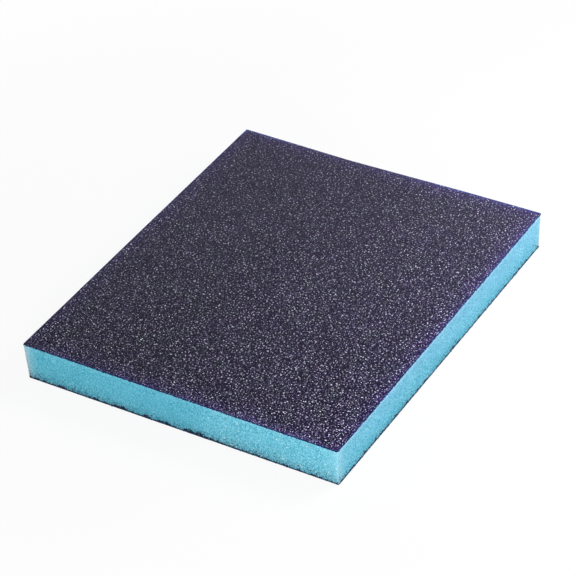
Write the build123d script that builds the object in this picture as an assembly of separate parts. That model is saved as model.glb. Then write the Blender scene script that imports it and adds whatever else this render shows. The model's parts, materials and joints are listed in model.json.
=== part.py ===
from build123d import *
import math
import os

# A flat, double-sided foam sanding pad, in millimetres. X runs across its width, Y along its
# length and Z up. The origin is the middle of the lower abrasive face, which the pad lies on.

# The pad as it leaves the cutting die, measured on the upper face
width = 100.0
length = 120.0
corner_radius = 0.4

# The die squeezes the soft foam as it comes down, so the cut sides lean in towards the underside
cut_lean_deg = 1.72

# The laminate before it is cut. Both large faces carry the same abrasive coating.
foam_thickness = 11.16
make_coat_thickness = 0.12
grain_layer_thickness = 0.24
size_coat_thickness = 0.06

# The layers in the order in which they lie on each other, from the surface that the pad rests on
layers = [
    ("lower_size_coat", size_coat_thickness),
    ("lower_abrasive_grain", grain_layer_thickness),
    ("lower_make_coat", make_coat_thickness),
    ("foam_core", foam_thickness),
    ("upper_make_coat", make_coat_thickness),
    ("upper_abrasive_grain", grain_layer_thickness),
    ("upper_size_coat", size_coat_thickness),
]
pad_thickness = sum(thickness for name, thickness in layers)


def cut_outline(height):
    """The outline that the die leaves at a height above the lower face."""
    inset = (pad_thickness - height) * math.tan(math.radians(cut_lean_deg))
    outline = RectangleRounded(width - 2 * inset, length - 2 * inset, corner_radius)
    return Pos(0, 0, height) * outline


def cut_layer(bottom, thickness):
    """One layer of the laminate between its two flat faces, with the leaning cut all round."""
    return loft([cut_outline(bottom), cut_outline(bottom + thickness)], ruled=True)


def build_pad():
    """Every layer as its own solid, each lying face to face on the one below it."""
    pieces = {}
    bottom = 0.0
    for name, thickness in layers:
        pieces[name] = cut_layer(bottom, thickness)
        bottom += thickness
    return pieces


os.makedirs("parts", exist_ok=True)
for name, piece in build_pad().items():
    piece.label = name
    export_step(piece, os.path.join("parts", name + ".step"))
    size = piece.bounding_box().size
    print(f"{name}: {size.X:.2f} x {size.Y:.2f} x {size.Z:.2f} mm, {piece.volume:.1f} mm3")
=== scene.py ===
import json
import math

import bpy
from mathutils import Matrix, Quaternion, Vector

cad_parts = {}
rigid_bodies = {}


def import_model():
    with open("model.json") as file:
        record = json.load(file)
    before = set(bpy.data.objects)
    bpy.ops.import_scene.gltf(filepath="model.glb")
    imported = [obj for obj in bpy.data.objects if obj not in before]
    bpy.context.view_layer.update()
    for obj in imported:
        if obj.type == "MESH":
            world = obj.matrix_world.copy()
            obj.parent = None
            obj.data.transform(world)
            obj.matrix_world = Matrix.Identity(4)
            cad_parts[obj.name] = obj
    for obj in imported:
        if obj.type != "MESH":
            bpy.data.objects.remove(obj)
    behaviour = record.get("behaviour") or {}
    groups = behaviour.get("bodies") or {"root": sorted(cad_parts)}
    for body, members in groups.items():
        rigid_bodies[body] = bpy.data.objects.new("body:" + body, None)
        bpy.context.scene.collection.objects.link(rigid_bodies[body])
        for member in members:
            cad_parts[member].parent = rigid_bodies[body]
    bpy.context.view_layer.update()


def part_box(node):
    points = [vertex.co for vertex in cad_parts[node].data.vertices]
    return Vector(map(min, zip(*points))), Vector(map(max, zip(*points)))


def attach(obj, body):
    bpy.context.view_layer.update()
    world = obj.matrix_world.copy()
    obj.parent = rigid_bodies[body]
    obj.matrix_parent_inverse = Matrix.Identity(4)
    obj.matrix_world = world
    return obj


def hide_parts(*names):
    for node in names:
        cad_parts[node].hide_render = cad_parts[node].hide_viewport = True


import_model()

mm = 0.001

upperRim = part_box("upper_size_coat")  # the outline at the top of the leaning cut
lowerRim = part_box("lower_size_coat")  # and at its foot
padFoot, padTop = lowerRim[0][2], upperRim[1][2]
halfPadWidth, halfPadLength = upperRim[1][:2]
foamFoot, foamHead = (corner[2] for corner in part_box("foam_core"))

padCut = {
    "cornerRadius": 0.4 * mm,
    "cornerSegments": 3,
    "frontSide": (-55 * mm, -58 * mm),  # along the length, where what only the front side has fades in
    "longEdge": 10 * mm,  # edges longer than this are cut up first, and then those over the next
    "middlingEdge": 2 * mm,
    "nearFace": 0.05 * mm,  # points this near to a face count as on it, more or less
}


def outlineAt(height):
    # half the width and half the length of the pad at this height
    share = (height - padFoot) / (padTop - padFoot)
    return [low + (high - low) * share for low, high in zip(lowerRim[1][:2], upperRim[1][:2])]


# node wiring, for materials and for geometry alike


class Wire:  # an output of a node; arithmetic on it adds Math nodes
    def __init__(self, wiring, socket):
        self.wiring = wiring
        self.socket = socket

    def maths(self, operation, *values, clamp=False):
        settings = {"operation": operation, "use_clamp": clamp}
        return self.wiring.add("ShaderNodeMath", settings, dict(enumerate(values)))

    def __add__(self, other):
        return self.maths("ADD", self, other)

    def __radd__(self, other):
        return self.maths("ADD", other, self)

    def __sub__(self, other):
        return self.maths("SUBTRACT", self, other)

    def __rsub__(self, other):
        return self.maths("SUBTRACT", other, self)

    def __mul__(self, other):
        return self.maths("MULTIPLY", self, other)

    def __rmul__(self, other):
        return self.maths("MULTIPLY", other, self)

    def __truediv__(self, other):
        return self.maths("DIVIDE", self, other)

    def __rtruediv__(self, other):
        return self.maths("DIVIDE", other, self)

    def __pow__(self, other):
        return self.maths("POWER", self, other)

    def __abs__(self):
        return self.maths("ABSOLUTE", self)

    def sign(self):
        return self.maths("SIGN", self)

    def exponential(self):
        return self.maths("EXPONENT", self)

    def least(self, other):
        return self.maths("MINIMUM", self, other)

    def most(self, other):
        return self.maths("MAXIMUM", self, other)

    def output(self, name):
        return Wire(self.wiring, self.socket.node.outputs[name])

    def fade(self, start, end):
        # 0 at start and 1 at end, held outside them
        return self.maths("MULTIPLY", self - start, 1 / (end - start), clamp=True)

    def smoothFade(self, start, end):
        settings = {"interpolation_type": "SMOOTHSTEP"}
        return self.wiring.add("ShaderNodeMapRange", settings, {0: self, 1: start, 2: end})


class Wiring:  # one node tree and the means to add to it
    def __init__(self, tree):
        self.tree = tree

    def add(self, kind, settings=None, inputs=None):
        node = self.tree.nodes.new(kind)
        for name, value in (settings or {}).items():
            if name == "stops":
                setStops(node.color_ramp, value)
            else:
                setattr(node, name, value)
        for name, value in (inputs or {}).items():
            if isinstance(value, Wire):
                self.tree.links.new(value.socket, node.inputs[name])
            else:
                node.inputs[name].default_value = value
        shown = [socket for socket in node.outputs if socket.enabled]
        return Wire(self, shown[0]) if shown else node

    def noise(self, place, size, detail=2.0, roughness=0.5):
        inputs = {"Vector": place, "Scale": 1 / size, "Detail": detail, "Roughness": roughness}
        return self.add("ShaderNodeTexNoise", None, inputs)

    def cells(self, place, size, feature="F1"):
        inputs = {"Vector": place, "Scale": 1 / size}
        return self.add("ShaderNodeTexVoronoi", {"feature": feature}, inputs)

    def mixColour(self, share, first, second, blend="MIX"):
        settings = {"data_type": "RGBA", "blend_type": blend}
        return self.add("ShaderNodeMix", settings, {0: share, 6: first, 7: second})

    def tinted(self, colour, tint):
        return self.mixColour(1.0, colour, tint, "MULTIPLY")

    def vectors(self, operation, first, second=(0, 0, 0)):
        return self.add("ShaderNodeVectorMath", {"operation": operation}, {0: first, 1: second})

    def split(self, place):
        parts = self.add("ShaderNodeSeparateXYZ", None, {0: place})
        return parts.output("X"), parts.output("Y"), parts.output("Z")

    def join(self, x=0.0, y=0.0, z=0.0):
        return self.add("ShaderNodeCombineXYZ", None, {0: x, 1: y, 2: z})

    def position(self):
        return self.add("GeometryNodeInputPosition")

    def move(self, geometry, how, where):
        # how is Offset or Position
        return self.add("GeometryNodeSetPosition", None, {"Geometry": geometry, how: where})


def setStops(ramp, stops):
    for index, (position, colour) in enumerate(stops):
        stop = ramp.elements[index] if index < 2 else ramp.elements.new(position)
        stop.position = position
        stop.color = colour


def grey(value):
    return (value, value, value, 1.0)


def rgb(red, green, blue):
    return (red, green, blue, 1.0)


def frontSideOnly(y):
    return y.fade(*padCut["frontSide"])


def anywhereAndMore(shares, mask):
    # the first share everywhere, and the second on top of it where the mask is 1
    return mask * shares[1] + shares[0]


def material(name):
    made = bpy.data.materials.new(name)
    made.use_nodes = True
    made.node_tree.nodes.clear()
    return made, Wiring(made.node_tree)


def objectPlace(wiring):
    return wiring.add("ShaderNodeTexCoord").output("Object")


def finishMaterial(wiring, look, colour, roughness, height=None):
    # look is the piece's dictionary, which says how glossy and how bumpy it is
    inputs = {"Base Color": colour, "Roughness": roughness, "Specular IOR Level": look["gloss"]}
    if height:
        inputs["Normal"] = wiring.add("ShaderNodeBump", None,
                                      {"Strength": look["bumpShare"], "Distance": look["bumpDepth"],
                                       "Height": height})
    shader = wiring.add("ShaderNodeBsdfPrincipled", None, inputs)
    wiring.add("ShaderNodeOutputMaterial", None, {"Surface": shader})


# modelling


def deselectAll():
    bpy.ops.object.select_all(action="DESELECT")


def adopt(name):
    # the object that an operator has just added
    piece = bpy.context.active_object
    piece.name = name
    piece.data.name = name
    return piece


def makeOnlyActive(piece):
    deselectAll()
    piece.select_set(True)
    bpy.context.view_layer.objects.active = piece


def selectEdges(piece, wanted):
    bpy.ops.object.mode_set(mode="OBJECT")
    points = piece.data.vertices
    for part in (piece.data.vertices, piece.data.edges, piece.data.polygons):
        part.foreach_set("select", [False] * len(part))
    for edge in piece.data.edges:
        a, b = (points[i].co for i in edge.vertices)
        edge.select = wanted(a, b)
    bpy.context.tool_settings.mesh_select_mode = (False, True, False)
    bpy.ops.object.mode_set(mode="EDIT")


def selectFaces(piece, wanted):
    bpy.ops.object.mode_set(mode="OBJECT")
    for part in (piece.data.vertices, piece.data.edges):
        part.foreach_set("select", [False] * len(part))
    for face in piece.data.polygons:
        face.select = wanted(face)
    bpy.context.tool_settings.mesh_select_mode = (False, False, True)
    bpy.ops.object.mode_set(mode="EDIT")


def applyModifiers(piece):
    makeOnlyActive(piece)
    for modifier in list(piece.modifiers):
        bpy.ops.object.modifier_apply(modifier=modifier.name)


def upright(a, b):
    return abs((a - b).z) > 0.9 * (a - b).length


def levelAndLonger(length):
    return lambda a, b: abs((a - b).z) < 0.1 * (a - b).length and (a - b).length > length


def subdivide(piece, wanted, parts):
    # leaves the piece in edit mode
    selectEdges(piece, wanted)
    bpy.ops.mesh.subdivide(number_cuts=parts - 1)


def fanLargeFaces():
    # a face of many corners becomes a fan of triangles
    bpy.ops.mesh.select_mode(type="FACE")
    bpy.ops.mesh.select_all(action="DESELECT")
    bpy.ops.mesh.select_face_by_sides(number=4, type="GREATER", extend=False)
    bpy.ops.mesh.poke()


def roundedSlab(name, bottom, top):
    # a slab of the laminate with the leaning cut and the eased upright corners
    deselectAll()
    halfWidth, halfLength = outlineAt(top)
    bpy.ops.mesh.primitive_cube_add(size=2, location=(0, 0, (bottom + top) / 2),
                                    scale=(halfWidth, halfLength, (top - bottom) / 2))
    slab = adopt(name)
    bpy.ops.object.transform_apply(location=True, rotation=True, scale=True)
    footWidth, footLength = outlineAt(bottom)
    selectFaces(slab, lambda face: face.normal.z < -0.9)
    bpy.ops.transform.resize(value=(footWidth / halfWidth, footLength / halfLength, 1))
    selectEdges(slab, upright)
    bpy.ops.mesh.bevel(offset=padCut["cornerRadius"], segments=padCut["cornerSegments"])
    bpy.ops.object.mode_set(mode="OBJECT")
    return slab


def geometryModifier(piece, name, build):
    tree = bpy.data.node_groups.new(name, "GeometryNodeTree")
    tree.interface.new_socket("Geometry", in_out="INPUT", socket_type="NodeSocketGeometry")
    tree.interface.new_socket("Geometry", in_out="OUTPUT", socket_type="NodeSocketGeometry")
    wiring = Wiring(tree)
    start = wiring.add("NodeGroupInput")
    wiring.add("NodeGroupOutput", None, {0: build(wiring, start)})
    piece.modifiers.new(name, "NODES").node_group = tree


# how the soft pad lies: the rear cut is pulled in where the foam was squeezed and stands out a
# little on both sides of that, the left cut swells a little, and the foot of the right side spreads

softness = {
    "dip": 0.58 * mm,  # of the rear cut, and how far it reaches on each side of its deepest place
    "dipPlace": -12.5 * mm,
    "dipReach": 38 * mm,
    "dipPower": 1.15,
    "rearRightSwell": 0.32 * mm,
    "rearRightFull": 0.9,  # where that swell is full, as a share of half the width
    "rearLeftSwell": 0.13 * mm,
    "rearLeftFade": (-0.4, -0.85),
    "leftSwell": 0.13 * mm,
    "footSpread": 0.05 * mm,
    "footFade": (1 * mm, 0.2 * mm),  # its distance from the right side
    "footHeight": 1.4 * mm,
}


def layDown(wiring, geometry):
    x, y, z = wiring.split(wiring.position())
    dip = abs(x - softness["dipPlace"]).fade(softness["dipReach"], 0) ** softness["dipPower"]
    swell = x.fade(softness["dipPlace"], softness["rearRightFull"] * halfPadWidth)
    swell = swell * softness["rearRightSwell"]
    rise, full = (share * halfPadWidth for share in softness["rearLeftFade"])
    swell = swell + x.fade(rise, full) * softness["rearLeftSwell"]
    rear = (swell - dip * softness["dip"]) * y.smoothFade(0, halfPadLength)
    left = x.smoothFade(0, -halfPadWidth) * y.smoothFade(-halfPadLength, 0) * softness["leftSwell"]
    rise, full = (outlineAt(0)[0] - distance for distance in softness["footFade"])
    right = x.fade(rise, full) * z.fade(softness["footHeight"], foamFoot) * softness["footSpread"]
    return wiring.move(geometry, "Offset", wiring.join(right - left, rear))


def outwards(wiring, amount):
    # a shift away from the pad's middle, which stays level, so the large faces don't move
    level = wiring.vectors("MULTIPLY", wiring.add("GeometryNodeInputNormal"), (1, 1, 0))
    direction = wiring.vectors("NORMALIZE", level)
    return wiring.add("ShaderNodeVectorMath", {"operation": "SCALE"}, {0: direction, "Scale": amount})


# foam core

foam = {
    "rows": 46,
    "coarseParts": 20,  # each long side is cut into these, and each of them into the fine parts
    "fineParts": 24,
    "waviness": 0.22 * mm,
    "wavinessSize": 17 * mm,
    "cellDepth": 0.2 * mm,
    "cellSize": 0.6 * mm,
    "fineDepth": 0.08 * mm,
    "fineSize": 0.36 * mm,
    "drag": 0.2 * mm,  # how far the blade drags the head of the cut up over the resin
    "dragSize": 0.6 * mm,
    "dragFade": (0.35, 0.6),
    "dragHead": 0.01 * mm,  # only the row of points at the very head is dragged
    # the pattern of the cut cells, with painted shade in their hollows
    "pull": 0.62,  # under 1 draws the cells out downwards
    "poreSize": 0.42 * mm,
    "poreLevel": 0.42,
    "poreContrast": 1.1,
    "threadSize": 0.22 * mm,
    "threadContrast": 4.2,
    "threadHeight": 0.8,
    "mottleSize": 3.5 * mm,
    "mottleContrast": 0.7,
    "openFade": (-6 * mm, 16 * mm),  # the cut is more open on the right of the front side
    "openContrast": 0.3,
    "frontSoftening": 0.15,
    "rearSoftening": 0.35,
    "rearSofteningFade": (0, 55 * mm),
    "bumpShare": 0.7,
    "bumpDepth": 0.1 * mm,
    "gloss": 0.1,
    "roughness": 0.85,
    # colours, and how much of the slow tints shows where
    "colour": rgb(0.15, 0.545, 0.735),
    "deepColour": rgb(0.045, 0.32, 0.46),
    "brightColour": rgb(0.34, 0.76, 0.92),
    "greenTint": rgb(0.86, 1.035, 1.0),  # the front side at its left end
    "paintedSheenTint": rgb(1.34, 1.0, 1.03),  # painted sheen on the other sides, towards the rear
    "paintedSheenLength": (-55 * mm, 55 * mm),
    "paintedSheenHeight": (1 * mm, 11 * mm),
    "paintedSheenHead": 1.15,
    "paintedSheenFoot": 0.32,
    "paintedSheenWidth": (-50 * mm, 50 * mm),
    "paintedSheenFront": 0.16,
    "dullRise": (-32 * mm, -4 * mm),  # a duller stretch of the front side
    "dullFall": (12 * mm, 4 * mm),
    "dullShare": 0.16,
    "clearRise": (3 * mm, 14 * mm),  # and a clearer one
    "clearShare": 0.08,
    # grains of broken cell wall, and a few larger white ones, most of them where the cut is open
    "brokenRise": (0, 16 * mm),
    "raggedSize": 0.2 * mm,
    "fleckColour": rgb(0.45, 0.85, 0.95),
    "fleckSpacing": 0.7 * mm,
    "fleckSize": 0.3,
    "fleckRagged": 0.8,
    "fleckFade": 0.06,
    "fleckShares": (0.1, 0.5),  # anywhere, and how much more where the cut is open
    "speckColour": rgb(0.78, 0.9, 0.88),
    "speckSpacing": 2 * mm,
    "speckSize": 0.045,
    "speckRagged": 0.25,
    "speckVariety": 0.16,
    "speckVarietySize": 5 * mm,
    "speckFade": 0.03,
    "speckShares": (0.15, 0.85),
    # painted highlight, pale along the four upright corners, and a painted glare almost white on one
    "highlightReach": 6 * mm,
    "highlightRear": (50 * mm, 60 * mm),
    "highlightRearLess": 0.25,
    "paleColour": rgb(0.4, 0.82, 0.96),  # painted highlight on the front side
    "sideHighlightColour": rgb(0.53, 0.8, 0.93),  # and on the others
    "highlightShare": 0.47,
    "highlightPower": 2,
    "glareColour": rgb(0.6, 0.7, 0.77),
    "glareShare": 0.86,
    "glarePower": 4,
    "glareWidth": (-40 * mm, -45 * mm),
    "glareLength": (-50 * mm, -55 * mm),
    "cornerFade": 0.3 * mm,
    "lipHeight": 1.4 * mm,  # a paler band at the head of the foam, under the upper coating
    "lipShare": 0.45,
    "lipFrontLess": 0.3,
}

soilAndShade = {  # dust and resin from the lower coating at the foot of the foam, and painted shade that darkens towards the foot
    "footShadeColour": rgb(0.04, 0.05, 0.08),
    "footShadeFall": 0.35,  # for each millimetre of height
    "footShadeShares": (0.7, 0.3),  # anywhere, and how much more on the front side
    "footShadeShare": 0.3,
    "pull": 0.5,
    "chunkSize": 0.6 * mm,
    "gritSize": 0.26 * mm,
    "roughness": 0.6,
    "fade": 0.04,
    "lineColour": rgb(0.024, 0.014, 0.038),
    "lineLevel": 0.29,
    "lineFall": 0.7,
    "lineShare": 0.95,
    "crestSize": 2 * mm,
    "crestHeights": (1.8, 1.2),
    "frontThinning": 0.4,  # the line thins out along the front side to the right
    "frontThinningAlong": (-50 * mm, 50 * mm),
    "frontThinningLeast": 0.05,
    "sideThinning": 0.27,  # and along the other sides to the rear
    "sideThinningAlong": (-20 * mm, 40 * mm),
    "speckLevel": 0.55,
    "speckFall": 0.055,
    "speckFront": 0.01,
    "speckShare": 0.9,
    "smearColour": rgb(0.006, 0.008, 0.03),
    "smearShare": 0.93,
    "smearFade": 0.25,
    "smearBase": 0.8,
    "smearChunks": 2.6,
    "smearGrit": 2.2,
    "smears": [  # resin squeezed out under the front side: its middle, half its length and its height
        (5.2 * mm, 4.4 * mm, 1.5 * mm),
        (-4.2 * mm, 3.6 * mm, 0.9 * mm),
        (-17.5 * mm, 1.6 * mm, 0.6 * mm),
        (15.0 * mm, 5.0 * mm, 0.4 * mm),
    ],
}


def foamRelief(wiring, geometry):
    place = wiring.position()
    waves = (wiring.noise(place, foam["wavinessSize"]) - 0.5) * foam["waviness"]
    cells = (wiring.cells(place, foam["cellSize"]) - 0.5) * foam["cellDepth"]
    fine = (wiring.noise(place, foam["fineSize"]) - 0.5) * foam["fineDepth"]
    x, y, z = wiring.split(place)
    atHead = z.fade(foamHead - foam["dragHead"], foamHead)
    rise = wiring.noise(place, foam["dragSize"]).fade(*foam["dragFade"]) * atHead * frontSideOnly(y)
    lift = wiring.join(z=rise * foam["drag"])
    shift = wiring.vectors("ADD", outwards(wiring, waves + cells + fine), lift)
    return wiring.move(geometry, "Offset", shift)


def makeFoam():
    slab = roundedSlab("foam_slab", foamFoot, foamHead)
    subdivide(slab, upright, foam["rows"])
    subdivide(slab, levelAndLonger(padCut["longEdge"]), foam["coarseParts"])
    subdivide(slab, levelAndLonger(padCut["middlingEdge"]), foam["fineParts"])
    fanLargeFaces()
    bpy.ops.object.mode_set(mode="OBJECT")
    geometryModifier(slab, "cut_cells", foamRelief)
    geometryModifier(slab, "lying", layDown)
    applyModifiers(slab)
    bpy.ops.object.shade_smooth()
    return slab


def foamTexture(w, place):
    # the open cells, drawn out a little where the blade went down: painted shade in the hollows and
    # painted light on the walls and threads, on the pattern the bump follows
    x, y, z = w.split(place)
    drawn = w.vectors("MULTIPLY", place, (1, 1, foam["pull"]))
    cells = w.cells(drawn, foam["poreSize"])
    fine = w.noise(drawn, foam["threadSize"], detail=1, roughness=0.6)
    mottle = w.noise(place, foam["mottleSize"], detail=3)
    opened = frontSideOnly(y) * x.fade(*foam["openFade"])
    strength = opened * foam["openContrast"] + 1.0 - frontSideOnly(y) * foam["frontSoftening"]
    strength = strength - y.fade(*foam["rearSofteningFade"]) * foam["rearSoftening"]
    tone = (foam["poreLevel"] - cells) * foam["poreContrast"] + (fine - 0.5) * foam["threadContrast"]
    tone = tone * strength + (mottle - 0.5) * foam["mottleContrast"]
    height = fine * foam["threadHeight"] - cells
    return tone, height


def cornerHighlight(x, y):
    # how near a point is to an upright corner, for the painted highlight: 1 on it, a little less at
    # the rear, 0 further away
    fromCorner = (halfPadWidth - abs(x)).most(halfPadLength - abs(y))
    rear = y.fade(*foam["highlightRear"]) * foam["highlightRearLess"]
    return fromCorner.fade(foam["highlightReach"], 0) * (1 - rear)


def footSoilAndShade(w, place):
    # painted shade, a soft veil that darkens towards the foot, then a broken dark line with specks,
    # and smears
    x, y, z = w.split(place)
    rise = (z - foamFoot) / mm
    front = frontSideOnly(y)
    footShade = (rise * -soilAndShade["footShadeFall"]).exponential() * anywhereAndMore(soilAndShade["footShadeShares"], front)
    footShade = footShade * soilAndShade["footShadeShare"]
    drawn = w.vectors("MULTIPLY", place, (1, 1, soilAndShade["pull"]))
    chunks = w.noise(drawn, soilAndShade["chunkSize"], detail=2, roughness=soilAndShade["roughness"])
    grains = w.noise(drawn, soilAndShade["gritSize"], detail=1, roughness=soilAndShade["roughness"])
    crest = (w.noise(place, soilAndShade["crestSize"]) - 0.5) * anywhereAndMore(soilAndShade["crestHeights"], front)
    thinner = x.fade(*soilAndShade["frontThinningAlong"]) * soilAndShade["frontThinning"] + soilAndShade["frontThinningLeast"]
    side = (1 - front) * y.fade(*soilAndShade["sideThinningAlong"]) * soilAndShade["sideThinning"]
    thinner = front * thinner + side
    line = chunks + crest - rise * soilAndShade["lineFall"] - soilAndShade["lineLevel"] - thinner
    specks = grains - rise * soilAndShade["speckFall"] - soilAndShade["speckLevel"] + front * soilAndShade["speckFront"]
    specks = specks.fade(0, soilAndShade["fade"]) * soilAndShade["speckShare"]
    line = (line.fade(0, soilAndShade["fade"]) * soilAndShade["lineShare"]).most(specks)
    ragged = (chunks - 0.5) * soilAndShade["smearChunks"] + (grains - 0.5) * soilAndShade["smearGrit"]
    smear = None
    for middle, reach, height in soilAndShade["smears"]:
        across = (x - middle) / reach
        top = (1 - across * across).most(0) ** 0.5 * (height / mm)
        one = (top * (ragged + soilAndShade["smearBase"]) - rise).fade(0, soilAndShade["smearFade"])
        smear = smear.most(one) if smear else one
    return footShade, line, smear * front * soilAndShade["smearShare"]


def foamMaterial():
    made, w = material("blue_foam")
    place = objectPlace(w)
    x, y, z = w.split(place)
    tone, height = foamTexture(w, place)
    # painted shade in the cell hollows and painted light on their walls
    colour = w.mixColour(tone.fade(0, -1), foam["colour"], foam["deepColour"])
    colour = w.mixColour(tone.fade(0, 1), colour, foam["brightColour"])
    # greener in front, with a painted sheen on the other sides, more so to the rear and the head
    front = frontSideOnly(y)
    paintedSheen = z.fade(*foam["paintedSheenHeight"]) * foam["paintedSheenHead"] + foam["paintedSheenFoot"]
    paintedSheen = (y.fade(*foam["paintedSheenLength"]) * 0.5 + 0.5) * paintedSheen
    paintedSheen = paintedSheen * (1 - front) + x.fade(*foam["paintedSheenWidth"]) * front * foam["paintedSheenFront"]
    colour = w.tinted(colour, w.mixColour(paintedSheen, foam["greenTint"], foam["paintedSheenTint"]))
    dull = x.smoothFade(*foam["dullRise"]) * x.smoothFade(*foam["dullFall"]) * front
    colour = w.mixColour(dull * foam["dullShare"], colour, foam["deepColour"])
    clear = x.smoothFade(*foam["clearRise"]) * front
    colour = w.mixColour(clear * foam["clearShare"], colour, foam["brightColour"])
    # broken cell wall
    shown = front * x.smoothFade(*foam["brokenRise"])
    ragged = w.noise(place, foam["raggedSize"], detail=1) - 0.5
    flecks = ragged * foam["fleckRagged"] + foam["fleckSize"] - w.cells(place, foam["fleckSpacing"])
    flecks = flecks.fade(0, foam["fleckFade"]) * anywhereAndMore(foam["fleckShares"], shown)
    colour = w.mixColour(flecks, colour, foam["fleckColour"])
    size = w.noise(place, foam["speckVarietySize"]) * foam["speckVariety"]
    size = size + ragged * foam["speckRagged"] + foam["speckSize"]
    specks = (size - w.cells(place, foam["speckSpacing"])).fade(0, foam["speckFade"])
    specks = specks * anywhereAndMore(foam["speckShares"], shown)
    colour = w.mixColour(specks, colour, foam["speckColour"])
    # painted highlight along the upright corners, and painted glare on the front left one
    near = cornerHighlight(x, y)
    glare = x.fade(*foam["glareWidth"]) * y.fade(*foam["glareLength"])
    frontFace = (halfPadWidth - abs(x) - (y + halfPadLength)).fade(0, foam["cornerFade"])
    pale = w.mixColour(frontFace, foam["sideHighlightColour"], foam["paleColour"])
    colour = w.mixColour(near ** foam["highlightPower"] * foam["highlightShare"], colour, pale)
    glare = near ** foam["glarePower"] * glare * foam["glareShare"]
    colour = w.mixColour(glare, colour, foam["glareColour"])
    lip = z.fade(foamHead - foam["lipHeight"], foamHead)
    lip = lip * (foam["lipShare"] - front * foam["lipFrontLess"])
    colour = w.mixColour(lip, colour, pale)
    footShade, line, smear = footSoilAndShade(w, place)
    # painted shade deepening towards the foot
    colour = w.mixColour(footShade, colour, soilAndShade["footShadeColour"])
    colour = w.mixColour(line, colour, soilAndShade["lineColour"])
    colour = w.mixColour(smear, colour, soilAndShade["smearColour"])
    finishMaterial(w, foam, colour, foam["roughness"], height)
    return made


# the make coats: violet resin that soaks a little into the cut foam

makeCoat = {
    "rimRows": 3,
    "coarseParts": 20,
    "fineParts": 20,
    "ragged": 0.44 * mm,
    "raggedSize": 0.5 * mm,
    "inside": 0.42,  # the share of the ragged rim that lies back inside the cut
    "frontInside": 0.26,  # more of it at the head of the front side
    "soak": 0.34 * mm,  # how far the rim row that meets the foam creeps over it
    "soakSize": 0.6 * mm,
    "soakFade": (0.42, 0.7),
    "colour": rgb(0.004, 0.008, 0.035),
    "paleColour": rgb(0.02, 0.032, 0.1),
    "blotchSize": 0.5 * mm,
    "bumpShare": 0.5,
    "bumpDepth": 0.05 * mm,
    "gloss": 0.1,
    "roughness": 0.65,
    "roughnessLess": 0.2,  # where it is pale
}


def resinRim(towardsFoam):
    def build(wiring, geometry):
        place = wiring.position()
        x, y, z = wiring.split(place)
        inside = makeCoat["inside"]
        if towardsFoam < 0:
            inside = frontSideOnly(y) * makeCoat["frontInside"] + inside
        ragged = (wiring.noise(place, makeCoat["raggedSize"]) - inside) * makeCoat["ragged"]
        foamSide = foamHead if towardsFoam < 0 else foamFoot
        near = abs(z - foamSide).fade(padCut["nearFace"], 0)
        creep = wiring.noise(place, makeCoat["soakSize"]).fade(*makeCoat["soakFade"]) * near
        lift = wiring.join(z=creep * makeCoat["soak"] * towardsFoam)
        return wiring.move(geometry, "Offset", wiring.vectors("ADD", outwards(wiring, ragged), lift))
    return build


def makeResinBed(name, bottom, top, towardsFoam):
    bed = roundedSlab(name, bottom, top)
    subdivide(bed, levelAndLonger(padCut["longEdge"]), makeCoat["coarseParts"])
    subdivide(bed, levelAndLonger(padCut["middlingEdge"]), makeCoat["fineParts"])
    subdivide(bed, lambda a, b: abs((a - b).z) > padCut["nearFace"], makeCoat["rimRows"])
    fanLargeFaces()
    bpy.ops.object.mode_set(mode="OBJECT")
    geometryModifier(bed, "ragged_rim", resinRim(towardsFoam))
    geometryModifier(bed, "lying", layDown)
    applyModifiers(bed)
    return bed


def resinMaterial(name):
    made, w = material(name)
    blotch = w.noise(objectPlace(w), makeCoat["blotchSize"], detail=3)
    colour = w.mixColour(blotch, makeCoat["colour"], makeCoat["paleColour"])
    roughness = makeCoat["roughness"] - blotch * makeCoat["roughnessLess"]
    finishMaterial(w, makeCoat, colour, roughness, blotch)
    return made


# the size coats: a thin resin film that lies over the grain like a wet cloth

sizeCoat = {
    "pitch": 0.42 * mm,
    "drop": 0.2 * mm,  # how far the film's rim comes down over the grain
    "depth": 0.16 * mm,  # from the tips of the grain down to the film between them
    "relief": 0.1 * mm,
    "grainSize": 0.5 * mm,
    "fineSize": 0.35 * mm,
    "beadPlace": (-0.1 * mm, -0.05 * mm),  # along the cut the resin stands up in a bead
    "beadHeights": (0.6, 0.35),  # its least height and how much it varies, as shares of the depth
    "beadFade": (0.2, 0.6),
    "darkColour": rgb(0.004, 0.003, 0.009),
    "greyColour": rgb(0.02, 0.017, 0.034),
    "colourSize": 0.3 * mm,
    "colourFade": (0.35, 0.75),
    "bumpShare": 0.8,
    "bumpDepth": 0.1 * mm,
    "gloss": 0.04,
    "roughness": 0.6,
}


def filmShape(level, side):
    # rounds the sheet's corners and gives it the pimples of the grain under it
    def build(wiring, geometry):
        place = wiring.position()
        x, y, z = wiring.split(place)
        radius = padCut["cornerRadius"]
        halfWidth, halfLength = outlineAt(level)
        overX = (abs(x) - (halfWidth - radius)).most(0)
        overY = (abs(y) - (halfLength - radius)).most(0)
        reach = (overX * overX + overY * overY) ** 0.5
        excess = 1 - radius / reach.most(radius)
        newX = x - overX * excess * x.sign()
        newY = y - overY * excess * y.sign()
        pimples = wiring.cells(place, sizeCoat["grainSize"], "SMOOTH_F1")
        fine = wiring.noise(place, sizeCoat["fineSize"])
        height = (0.5 - pimples) * sizeCoat["relief"] + (fine - 0.5) * sizeCoat["relief"]
        onFace = abs(z - level).fade(padCut["nearFace"], 0)
        atCut = (abs(x) - halfWidth).most(abs(y) - halfLength).fade(*sizeCoat["beadPlace"])
        bead = anywhereAndMore(sizeCoat["beadHeights"], fine.fade(*sizeCoat["beadFade"]))
        height = height * (1 - atCut) + bead * sizeCoat["depth"] * atCut
        newZ = z + height * onFace * side
        return wiring.move(geometry, "Position", wiring.join(newX, newY, newZ))
    return build


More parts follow.
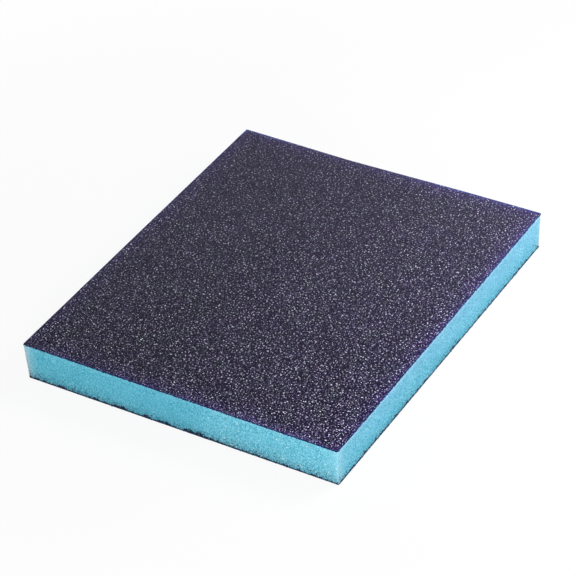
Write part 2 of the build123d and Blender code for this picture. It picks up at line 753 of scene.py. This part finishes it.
def makeFilm(name, outerFace, side):
    deselectAll()
    level = outerFace - side * sizeCoat["depth"]
    halfWidth, halfLength = outlineAt(level)
    columns = round(2 * halfWidth / sizeCoat["pitch"])
    rows = round(2 * halfLength / sizeCoat["pitch"])
    bpy.ops.mesh.primitive_grid_add(x_subdivisions=columns, y_subdivisions=rows, size=2)
    film = adopt(name)
    bpy.ops.transform.resize(value=(halfWidth, halfLength, 1))
    bpy.ops.transform.translate(value=(0, 0, level))
    bpy.ops.object.transform_apply(location=True, rotation=True, scale=True)
    bpy.ops.object.mode_set(mode="EDIT")
    bpy.ops.mesh.select_mode(type="EDGE")
    bpy.ops.mesh.select_all(action="SELECT")
    bpy.ops.mesh.region_to_loop()
    drop = (0, 0, -side * sizeCoat["drop"])
    bpy.ops.mesh.extrude_region_move(TRANSFORM_OT_translate={"value": drop})
    bpy.ops.mesh.edge_face_add()
    fanLargeFaces()
    bpy.ops.mesh.select_all(action="SELECT")
    bpy.ops.mesh.normals_make_consistent(inside=False)
    bpy.ops.object.mode_set(mode="OBJECT")
    geometryModifier(film, "grain_pimples", filmShape(level, side))
    geometryModifier(film, "lying", layDown)
    applyModifiers(film)
    return film


# what both coatings share: slow blotches, painted light towards the rear right corner, and violet
# resin that shows more near the cut sides

coating = {
    "plum": rgb(1.03, 0.96, 1.05),
    "slate": rgb(0.97, 1.03, 0.96),
    "blotchSize": 4.5 * mm,
    "warm": rgb(1.03, 1.0, 0.955),
    "cool": rgb(0.97, 1.0, 1.05),
    "warmthSize": 0.8 * mm,
    "tintFade": (0.4, 0.6),
    "dust": rgb(0.068, 0.063, 0.084),
    "dustShare": 0.61,  # at the rear left corner; the front right corner has none
    "filmDustShare": 0.58,
    "dustSlope": (0.53, 0.85),  # to the left and to the rear
    "dustFade": (-60 * mm, 75 * mm),
    "dimTint": rgb(0.895, 0.912, 1.01),
    "paintedLightTint": rgb(1.34, 1.32, 1.59),  # painted light, paler towards the rear right corner
    "paintedLightStart": -12.5 * mm,
    "paintedLightAcross": 3.1,
    "paintedLightFade": (-1.8, 4.1),
    "violet": rgb(1.44, 1.29, 2.0),
    "violetReach": 9 * mm,
    "violetPower": 2.5,
    "leftRim": (-40 * mm, -49 * mm),
    "leftRimLess": 0.35,
    "bead": rgb(1.6, 2.35, 2.6),  # the clear resin that stands along the cut, thickest at the rear
    "beadFade": (0.9 * mm, 0.1 * mm),
    "beadShare": 0.25,
    "beadRear": (55 * mm, 59 * mm),
    "beadRearShare": 0.75,
    "beadRearLess": 0.55,  # and less of it there towards the right
    "beadRearRight": (-10 * mm, 40 * mm),
    "rimFade": (-0.12 * mm, 0.02 * mm),
    "upperRimTint": rgb(0.45, 0.8, 1.3),
    "lowerRimTint": rgb(0.15, 0.65, 0.8),
    "bareRim": rgb(0.035, 0.13, 0.19),  # where foam was dragged down over the lower rim
    "bareSize": 0.8 * mm,
    "bareFade": (0.5, 0.58),
    "bareShare": 0.8,
}


def underTheRim(w, place):
    # 1 on the side of the coating, where the leaning cut goes through it, and 0 on its face
    x, y, z = w.split(place)
    lowWidth, lowLength = lowerRim[1][:2]
    share = z / padTop
    overX = abs(x) - (share * (halfPadWidth - lowWidth) + lowWidth)
    overY = abs(y) - (share * (halfPadLength - lowLength) + lowLength)
    return overX.most(overY).fade(*coating["rimFade"])


def tintByPlace(w, place, colour, resinShare, dustShare):
    x, y, z = w.split(place)
    blotch = w.noise(place, coating["blotchSize"], detail=3, roughness=0.6)
    tint = w.mixColour(blotch.fade(*coating["tintFade"]), coating["plum"], coating["slate"])
    colour = w.tinted(colour, tint)
    warmth = w.noise(place, coating["warmthSize"], detail=1)
    tint = w.mixColour(warmth.fade(*coating["tintFade"]), coating["warm"], coating["cool"])
    colour = w.tinted(colour, tint)
    across, lengthways = coating["dustSlope"]
    dusty = (y * lengthways - x * across).fade(*coating["dustFade"]) * dustShare
    colour = w.mixColour(dusty, colour, coating["dust"])
    # painted light: the coating turns paler and bluer towards the rear right corner
    across = x.most(coating["paintedLightStart"]) / halfPadWidth * coating["paintedLightAcross"]
    pale = (across + y / halfPadLength).fade(*coating["paintedLightFade"])
    colour = w.tinted(colour, w.mixColour(pale, coating["dimTint"], coating["paintedLightTint"]))
    # near the cut
    reach = (halfPadWidth - abs(x)).least(halfPadLength - abs(y))
    left = x.fade(*coating["leftRim"])
    near = reach.fade(coating["violetReach"], 0) ** coating["violetPower"]
    near = near * (1 - left * coating["leftRimLess"])
    colour = w.mixColour(near * resinShare, colour, w.tinted(colour, coating["violet"]))
    rear = y.fade(*coating["beadRear"])
    thickness = coating["beadRearShare"] - x.fade(*coating["beadRearRight"]) * coating["beadRearLess"]
    thickness = rear * thickness + (1 - rear) * (1 - left) * coating["beadShare"]
    bead = reach.fade(*coating["beadFade"]) * thickness
    colour = w.mixColour(bead, colour, w.tinted(colour, coating["bead"]))
    # and on the cut itself
    low = z.fade(foamHead, foamFoot)
    inked = w.tinted(colour, w.mixColour(low, coating["upperRimTint"], coating["lowerRimTint"]))
    bare = w.noise(place, coating["bareSize"]).fade(*coating["bareFade"]) * low * coating["bareShare"]
    inked = w.mixColour(bare, inked, coating["bareRim"])
    return w.mixColour(underTheRim(w, place), colour, inked)


def filmMaterial():
    made, w = material("grain_film")
    place = objectPlace(w)
    fine = w.noise(place, sizeCoat["colourSize"])
    share = fine.fade(*sizeCoat["colourFade"])
    colour = w.mixColour(share, sizeCoat["darkColour"], sizeCoat["greyColour"])
    colour = tintByPlace(w, place, colour, 1.0, coating["filmDustShare"])
    finishMaterial(w, sizeCoat, colour, sizeCoat["roughness"], fine)
    return made


# the abrasive grain: crushed crystals standing in the resin

crystals = {
    "shapes": [  # corners, radius, height, and whether it is pointed; each is crushed twice
        (3, 1.1, 1.6, True),
        (4, 1.0, 1.3, True),
        (3, 1.0, 1.1, False),
    ],
    "crushing": 0.3,
    "crushingSeed": 11,
    "upperSize": 0.165 * mm,  # half the length of a middling crystal
    "upperApart": 0.19 * mm,
    "upperSeed": 7,
    "lowerSize": 0.195 * mm,
    "lowerApart": 0.235 * mm,
    "lowerSeed": 507,
    "seedStep": 40,  # from one quarter of a face to the next
    "lengths": (0.65, 1.3),  # shares of the size
    "widths": (0.8, 1.2),  # shares of the length
    "depths": (0.7, 1.0),
    "heights": (0.6, 0.9),
    "lean": 0.6,  # radians, and so is the turn
    "turn": 6.283,
    "perSquareMetre": 3.0e7,
    "share": 0.84,  # of the places that hold a crystal; the others are pits down to the film
    "sink": (0.05 * mm, 0.15 * mm),  # how far a crystal's middle lies under the outer face
    "inset": 0.02 * mm,
    "edgeDrop": 0.28 * mm,
    "pressedFoot": 0.005 * mm,  # the tips are level where the pad has been pressed flat
    "pressedHead": 0.02 * mm,
    "brightSpacing": 0.95 * mm,
    "brightSpread": 0.8,
    "brightFade": (0.36, 0.16),
    "middlingFade": (0.36, 0.6),
    "middlingShare": 0.35,
    "chance": 0.35,  # the share of chance in a crystal's tone
    "plainGrowth": 0.95,
    "brightGrowth": 0.15,
    "rimDarkening": 0.14,  # resin hides the crystals that stick out of the cut side
    "drownedReach": 4 * mm,  # resin has run over the crystals along the front rim
    "drownedShare": 0.4,
    "drownedTone": 0.52,
    "drownedSlope": 1.8,  # paler to the right
    "resinFade": (0.85, 0.4),  # the tones that take the violet of the resin
    "gloss": 0.1,
    "roughness": 0.6,
    "roughnessLess": 0.25,  # on the brightest
    # the palest tones are partly painted highlight, standing in for the glints of the facets
    "tones": [
        (0.0, rgb(0.008, 0.006, 0.018)),
        (0.34, rgb(0.022, 0.018, 0.04)),
        (0.44, rgb(0.13, 0.12, 0.178)),
        (0.61, rgb(0.265, 0.252, 0.33)),
        (0.78, rgb(0.56, 0.545, 0.63)),
        (0.9, rgb(1.0, 0.98, 1.0)),
    ],
}


def makeShards():
    # a few crushed shapes, kept in a collection that isn't shown
    drawer = bpy.data.collections.new("crushed_shapes")
    for index, (corners, radius, height, pointed) in enumerate(crystals["shapes"] * 2):
        deselectAll()
        if pointed:
            bpy.ops.mesh.primitive_cone_add(vertices=corners, radius1=radius, radius2=0, depth=height)
        else:
            bpy.ops.mesh.primitive_cylinder_add(vertices=corners, radius=radius, depth=height)
        shard = adopt(f"shard_{index}")
        bpy.ops.object.mode_set(mode="EDIT")
        bpy.ops.mesh.select_all(action="SELECT")
        bpy.ops.transform.vertex_random(offset=crystals["crushing"], uniform=0, normal=0,
                                        seed=crystals["crushingSeed"] + index)
        bpy.ops.mesh.quads_convert_to_tris()
        bpy.ops.object.mode_set(mode="OBJECT")
        for home in list(shard.users_collection):
            home.objects.unlink(shard)
        drawer.objects.link(shard)
    return drawer


def randomValue(wiring, low, high, seed):
    return wiring.add("FunctionNodeRandomValue", {"data_type": "FLOAT"},
                      {2: low, 3: high, "Seed": seed})


def standCrystals(wiring, points, drawer, seed, size, lean, finish, bright=None):
    # gives each point its tone, then stands a turned and sized crystal on it
    tone = randomValue(wiring, 0.0, 1.0, seed + 1)
    if bright:
        tone = tone * crystals["chance"] + bright * (1 - crystals["chance"])
        size = (bright * crystals["brightGrowth"] + crystals["plainGrowth"]) * size
    points = wiring.add("GeometryNodeStoreNamedAttribute", {"data_type": "FLOAT", "domain": "POINT"},
                        {"Geometry": points, "Name": "tone", "Value": tone})
    turn = wiring.join(randomValue(wiring, -lean, lean, seed + 3),
                       randomValue(wiring, -lean, lean, seed + 4),
                       randomValue(wiring, 0.0, crystals["turn"], seed + 5))
    turn = wiring.add("FunctionNodeEulerToRotation", None, {0: turn})
    length = randomValue(wiring, *crystals["lengths"], seed + 6) * size
    scale = wiring.join(length * randomValue(wiring, *crystals["widths"], seed + 7),
                        length * randomValue(wiring, *crystals["depths"], seed + 8),
                        length * randomValue(wiring, *crystals["heights"], seed + 9))
    shapes = wiring.add("GeometryNodeCollectionInfo", None,
                        {"Collection": drawer, "Separate Children": True, "Reset Children": True})
    standing = wiring.add("GeometryNodeInstanceOnPoints", None,
                          {"Points": points, "Instance": shapes, "Pick Instance": True,
                           "Rotation": turn, "Scale": scale})
    real = wiring.add("GeometryNodeRealizeInstances", None, {0: standing})
    return wiring.add("GeometryNodeSetMaterial", None, {"Geometry": real, "Material": finish})


def scatter(drawer, which, seed, side, finish):
    # swaps the sheet that carries this modifier for crystals standing on it
    def build(wiring, geometry):
        points = wiring.add("GeometryNodeDistributePointsOnFaces", {"distribute_method": "POISSON"},
                            {"Mesh": geometry, "Distance Min": crystals[which + "Apart"],
                             "Density Max": crystals["perSquareMetre"],
                             "Density Factor": crystals["share"], "Seed": seed})
        depth = randomValue(wiring, *crystals["sink"], seed + 2)
        points = wiring.move(points, "Offset", wiring.join(z=depth * -side))
        # the bright ones stand apart among darker neighbours, with middling ones between; the
        # brightest are partly painted highlight, standing in for glints
        apart = wiring.add("ShaderNodeTexVoronoi", {"voronoi_dimensions": "2D"},
                           {"Vector": wiring.position(), "Scale": 1 / crystals["brightSpacing"],
                            "Randomness": crystals["brightSpread"]})
        middling = apart.fade(*crystals["middlingFade"]) * crystals["middlingShare"]
        bright = apart.fade(*crystals["brightFade"]) + middling
        real = standCrystals(wiring, points, drawer, seed, crystals[which + "Size"], crystals["lean"],
                             finish, bright)
        x, y, z = wiring.split(wiring.position())
        held = z.least(padTop + crystals["pressedHead"]).most(padFoot + crystals["pressedFoot"])
        return wiring.move(real, "Position", wiring.join(x, y, held))
    return build


def makeGrain(name, drawer, which, face, side, corner, seed, finish):
    # one quarter of a face, so that each lot of crystals stays a piece of a handy size
    deselectAll()
    halfWidth, halfLength = (half - crystals["inset"] for half in outlineAt(face))
    bpy.ops.mesh.primitive_plane_add(size=1, location=(0.5 * corner[0], 0.5 * corner[1], 0))
    lot = adopt(name)
    bpy.ops.object.transform_apply(location=True, rotation=True, scale=True)
    bpy.ops.object.mode_set(mode="EDIT")
    bpy.ops.mesh.select_all(action="SELECT")
    bpy.ops.transform.resize(value=(halfWidth, halfLength, 1), center_override=(0, 0, 0))
    bpy.ops.transform.translate(value=(0, 0, face))
    bpy.ops.object.mode_set(mode="OBJECT")
    # the two edges on the cut turn down over the side of the coating
    inner = 1 * mm
    selectEdges(lot, lambda a, b: min(abs(a.x), abs(b.x)) > inner or min(abs(a.y), abs(b.y)) > inner)
    drop = (0, 0, -side * crystals["edgeDrop"])
    bpy.ops.mesh.extrude_edges_move(TRANSFORM_OT_translate={"value": drop})
    bpy.ops.object.mode_set(mode="OBJECT")
    geometryModifier(lot, "crystals", scatter(drawer, which, seed, side, finish))
    geometryModifier(lot, "lying", layDown)
    applyModifiers(lot)
    return lot


def crystalMaterial():
    made, w = material("crushed_carbide")
    place = objectPlace(w)
    tone = w.add("ShaderNodeAttribute", {"attribute_name": "tone"}).output("Fac")
    x, y, z = w.split(place)
    drowned = (y + halfPadLength).fade(crystals["drownedReach"], 0) * crystals["drownedShare"]
    lightness = tone + (x * crystals["drownedSlope"] + crystals["drownedTone"] - tone) * drowned
    lightness = lightness - underTheRim(w, place) * crystals["rimDarkening"]
    colour = w.add("ShaderNodeValToRGB", {"stops": crystals["tones"]}, {0: lightness})
    resinShare = tone.fade(*crystals["resinFade"])
    colour = tintByPlace(w, place, colour, resinShare, coating["dustShare"])
    roughness = crystals["roughness"] - tone * crystals["roughnessLess"]
    finishMaterial(w, crystals, colour, roughness)
    return made


# grit that came loose from the lower coating and clings to the foot of the foam

grit = {
    "size": 0.14 * mm,
    "lean": 3.1,  # it lies any way up
    "climb": 4.0 * mm,
    "fall": 0.9,  # how fast it thins out, for each millimetre of height
    "shares": (0.4, 0.6),  # anywhere, and how much more on the front side
    "perSquareMetre": 7.0e6,
    "seed": 901,
    "rows": 12,
    "parts": 20,
    "colour": rgb(0.004, 0.007, 0.022),
    "paleColour": rgb(0.018, 0.028, 0.06),
    "paleFade": (0.5, 1.0),
    "gloss": 0.15,
    "roughness": 0.6,
}


def clingingGrit(drawer, finish):
    def build(wiring, geometry):
        x, y, z = wiring.split(wiring.position())
        low = ((z - foamFoot) / mm * -grit["fall"]).exponential()
        density = low * anywhereAndMore(grit["shares"], frontSideOnly(y)) * grit["perSquareMetre"]
        points = wiring.add("GeometryNodeDistributePointsOnFaces", {"distribute_method": "RANDOM"},
                            {"Mesh": geometry, "Density": density, "Seed": grit["seed"]})
        return standCrystals(wiring, points, drawer, grit["seed"] + 2, grit["size"], grit["lean"],
                             finish)
    return build


def makeGrit(drawer, finish):
    band = roundedSlab("clinging_grit", foamFoot, foamFoot + grit["climb"])
    selectFaces(band, lambda face: abs(face.normal.z) > 0.9)
    bpy.ops.mesh.delete(type="FACE")
    subdivide(band, upright, grit["rows"])
    subdivide(band, levelAndLonger(padCut["longEdge"]), grit["parts"])
    bpy.ops.object.mode_set(mode="OBJECT")
    geometryModifier(band, "grit", clingingGrit(drawer, finish))
    geometryModifier(band, "lying", layDown)
    applyModifiers(band)
    return band


def gritMaterial():
    made, w = material("clinging_grit_dust")
    tone = w.add("ShaderNodeAttribute", {"attribute_name": "tone"}).output("Fac")
    colour = w.mixColour(tone.fade(*grit["paleFade"]), grit["colour"], grit["paleColour"])
    finishMaterial(w, grit, colour, grit["roughness"])
    return made


# building the pad

foamSlab = makeFoam()
foamSlab.data.materials.append(foamMaterial())
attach(foamSlab, "root")
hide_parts("foam_core")
print("stage: foam", len(foamSlab.data.polygons))

resin = resinMaterial("violet_resin")
for name, towardsFoam in (("upper_make_coat", -1), ("lower_make_coat", 1)):
    low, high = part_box(name)
    bed = makeResinBed(name + "_resin", low[2], high[2], towardsFoam)
    bed.data.materials.append(resin)
    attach(bed, "root")
    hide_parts(name)
    print("stage:", bed.name, len(bed.data.polygons))

filmFinish = filmMaterial()
crystalFinish = crystalMaterial()
drawer = makeShards()
quarters = [(-1, -1), (1, -1), (-1, 1), (1, 1)]
for which, outerFace, side in (("upper", padTop, 1), ("lower", padFoot, -1)):
    film = makeFilm(which + "_size_film", outerFace, side)
    film.data.materials.append(filmFinish)
    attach(film, "root")
    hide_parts(which + "_size_coat")
    print("stage:", film.name, len(film.data.polygons))
    for index, corner in enumerate(quarters):
        seed = crystals[which + "Seed"] + crystals["seedStep"] * index
        lot = makeGrain(f"{which}_grain_{index + 1}", drawer, which, outerFace, side, corner, seed,
                        crystalFinish)
        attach(lot, "root")
        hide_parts(which + "_abrasive_grain")
        print("stage:", lot.name, len(lot.data.polygons))

looseGrit = makeGrit(drawer, gritMaterial())
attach(looseGrit, "root")
print("stage:", looseGrit.name, len(looseGrit.data.polygons))

for shard in list(drawer.objects):
    bpy.data.objects.remove(shard)
bpy.data.collections.remove(drawer)

# floor, light and camera

studio = {
    "floorSize": 3.0,
    "floorWhite": 0.9,  # the share of the floor's white that no shadow darkens
    "floorFade": (0.09, 0.26),  # how far from the pad the floor turns into the white around it
    "floorBounce": 0.5,
    "worldLight": 0.2,
}


def seenDirectly(w):
    path = w.add("ShaderNodeLightPath")
    straight = path.output("Is Camera Ray").most(path.output("Is Glossy Ray"))
    return straight.most(path.output("Is Transmission Ray"))


def makeFloor():
    deselectAll()
    bpy.ops.mesh.primitive_plane_add(size=studio["floorSize"], location=(0, 0, 0))
    floor = adopt("studio_floor")
    made, w = material("pale_floor")
    direct = seenDirectly(w)
    x, y, z = w.split(objectPlace(w))
    far = ((x * x + y * y) ** 0.5).smoothFade(*studio["floorFade"])
    white = far * (1 - studio["floorWhite"]) + studio["floorWhite"]
    cover = w.mixColour(direct, grey(studio["floorBounce"]), grey(1.0))
    diffuse = w.add("ShaderNodeBsdfDiffuse", None, {"Color": cover})
    glow = w.add("ShaderNodeEmission", None, {"Color": grey(1.0), "Strength": 1.0})
    surface = w.add("ShaderNodeMixShader", None, {0: direct * white, 1: diffuse, 2: glow})
    w.add("ShaderNodeOutputMaterial", None, {"Surface": surface})
    floor.data.materials.append(made)


def makeWorld():
    world = bpy.data.worlds.new("white_studio")
    world.use_nodes = True
    world.node_tree.nodes.clear()
    w = Wiring(world.node_tree)
    strength = seenDirectly(w) * (1 - studio["worldLight"]) + studio["worldLight"]
    glow = w.add("ShaderNodeBackground", None, {"Color": grey(1.0), "Strength": strength})
    w.add("ShaderNodeOutputWorld", None, {"Surface": glow})
    bpy.context.scene.world = world


lamps = [
    # name, where it hangs, its size, its watts
    ("front_softbox", (0.2, -0.42, 0.13), 0.2, 1.37),
    ("side_softbox", (0.3, -0.14, 0.12), 0.15, 0.17),
    ("rear_softbox", (0.2, 0.12, 0.1), 0.12, 0.13),
    ("top_softbox", (0.13, 0.13, 0.2), 0.1, 0.4),
    ("far_softbox", (-0.45, 0.35, 0.06), 0.2, 2.0),
]


def makeLamps():
    for name, place, size, watts in lamps:
        deselectAll()
        bpy.ops.object.light_add(type="AREA", location=place)
        lamp = bpy.context.active_object
        lamp.name = name
        lamp.data.shape = "SQUARE"
        lamp.data.size = size
        lamp.data.energy = watts
        lamp.rotation_euler = Vector(place).to_track_quat("Z", "Y").to_euler()


camera = {
    "lens": 163.27,
    "sensor": 36.0,
    "distance": 747.4 * mm,
    "nearest": 10 * mm,
    "aim": (-1.79 * mm, 2.29 * mm, 6.0 * mm),
    "azimuth": 32.327,
    "elevation": 36.733,
    "roll": 3.271,
}


def makeCamera():
    turn, climb = math.radians(camera["azimuth"]), math.radians(camera["elevation"])
    level = math.cos(climb)
    away = Vector((math.sin(turn) * level, -math.cos(turn) * level, math.sin(climb)))
    place = Vector(camera["aim"]) + away * camera["distance"]
    deselectAll()
    bpy.ops.object.camera_add(location=place)
    eye = bpy.context.active_object
    eye.name = "studio_camera"
    eye.data.lens = camera["lens"]
    eye.data.sensor_width = camera["sensor"]
    eye.data.clip_start = camera["nearest"]
    tilt = Quaternion((0, 0, 1), -math.radians(camera["roll"]))
    eye.rotation_euler = (away.to_track_quat("Z", "Y") @ tilt).to_euler()
    bpy.context.scene.camera = eye


makeFloor()
makeWorld()
makeLamps()
makeCamera()
bpy.context.scene.view_settings.view_transform = "Standard"
print("stage: studio ready")
